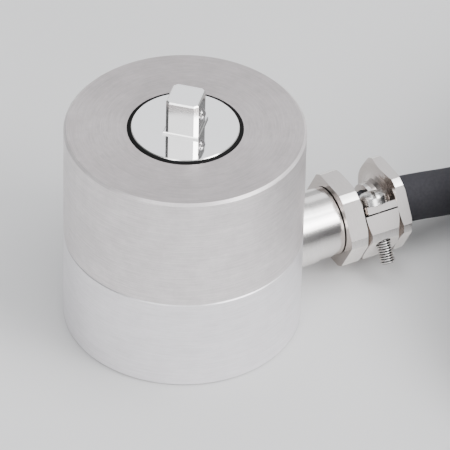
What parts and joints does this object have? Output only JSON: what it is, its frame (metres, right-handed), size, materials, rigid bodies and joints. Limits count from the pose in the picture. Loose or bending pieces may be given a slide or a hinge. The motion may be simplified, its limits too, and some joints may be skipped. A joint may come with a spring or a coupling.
{
  "type": "torque sensor",
  "caption": "Round metal torque sensor with a square drive on a polished hub disc, a bolted base and a signal cable that leaves through a split clamp gland.",
  "frame": {"origin": "centre of the mounting face, on the body axis", "axes": "+Z along the drive axis out of the body, +X along the cable gland"},
  "size_m": [0.1988, 0.1413, 0.0523],
  "materials": {
    "bare_aluminium": "satin, turned",
    "brushed_steel": "fine circular brushing",
    "polished_steel": "polished",
    "chrome_steel": "polished",
    "spring_steel": "plain",
    "black_rubber": "matte",
    "gauge_foil": "amber film",
    "board_laminate": "solder mask",
    "resistor_body": "matte",
    "nickel_brass": "nickel plated, satin",
    "cable_jacket": "matte",
    "tie_plastic": "satin",
    "shrink_sleeve": "satin",
    "core_red": "satin",
    "core_white": "satin",
    "core_black": "satin",
    "core_green": "satin",
    "tinned_ferrule": "tinned"
  },
  "bodies": {
    "sensor": {"base_flange": "bare_aluminium", "housing_cover": "brushed_steel", "torsion_shaft": "polished_steel", "detent_spring": "spring_steel", "hub_seal": "black_rubber", "cover_ring": "black_rubber", "neck_ring": "black_rubber", "shaft_screws": "spring_steel", "locating_pins": "spring_steel", "strain_gauges": "gauge_foil", "gauge_leads": "core_white", "circuit_board": "board_laminate", "board_screws": "spring_steel", "board_parts": "resistor_body", "gland_neck": "nickel_brass", "gland_gasket": "black_rubber", "gland_body": "nickel_brass", "cable_seal": "black_rubber", "thrust_ring": "nickel_brass", "clamp_nut": "nickel_brass", "clamp_screw": "chrome_steel", "cable_cores": "core_white", "gland_cable": "cable_jacket", "cable_coil": "cable_jacket", "signal_cable": "cable_jacket", "cable_tail": "cable_jacket", "coil_ties": "tie_plastic", "end_boot": "shrink_sleeve", "lead_red": "core_red", "lead_white": "core_white", "lead_black": "core_black", "lead_green": "core_green", "lead_ferrules": "tinned_ferrule"},
    "ball": {"detent_ball": "chrome_steel"}
  },
  "joints": [
    {"name": "ball_slide", "type": "slide", "parent": "sensor", "child": "ball", "axis": [-0.7314, 0.682, 0], "range_m": [0, 0.00065], "stiffness_N_per_m": 1500, "springref_m": -0.0004, "deforming": ["detent_spring"]}
  ]
}
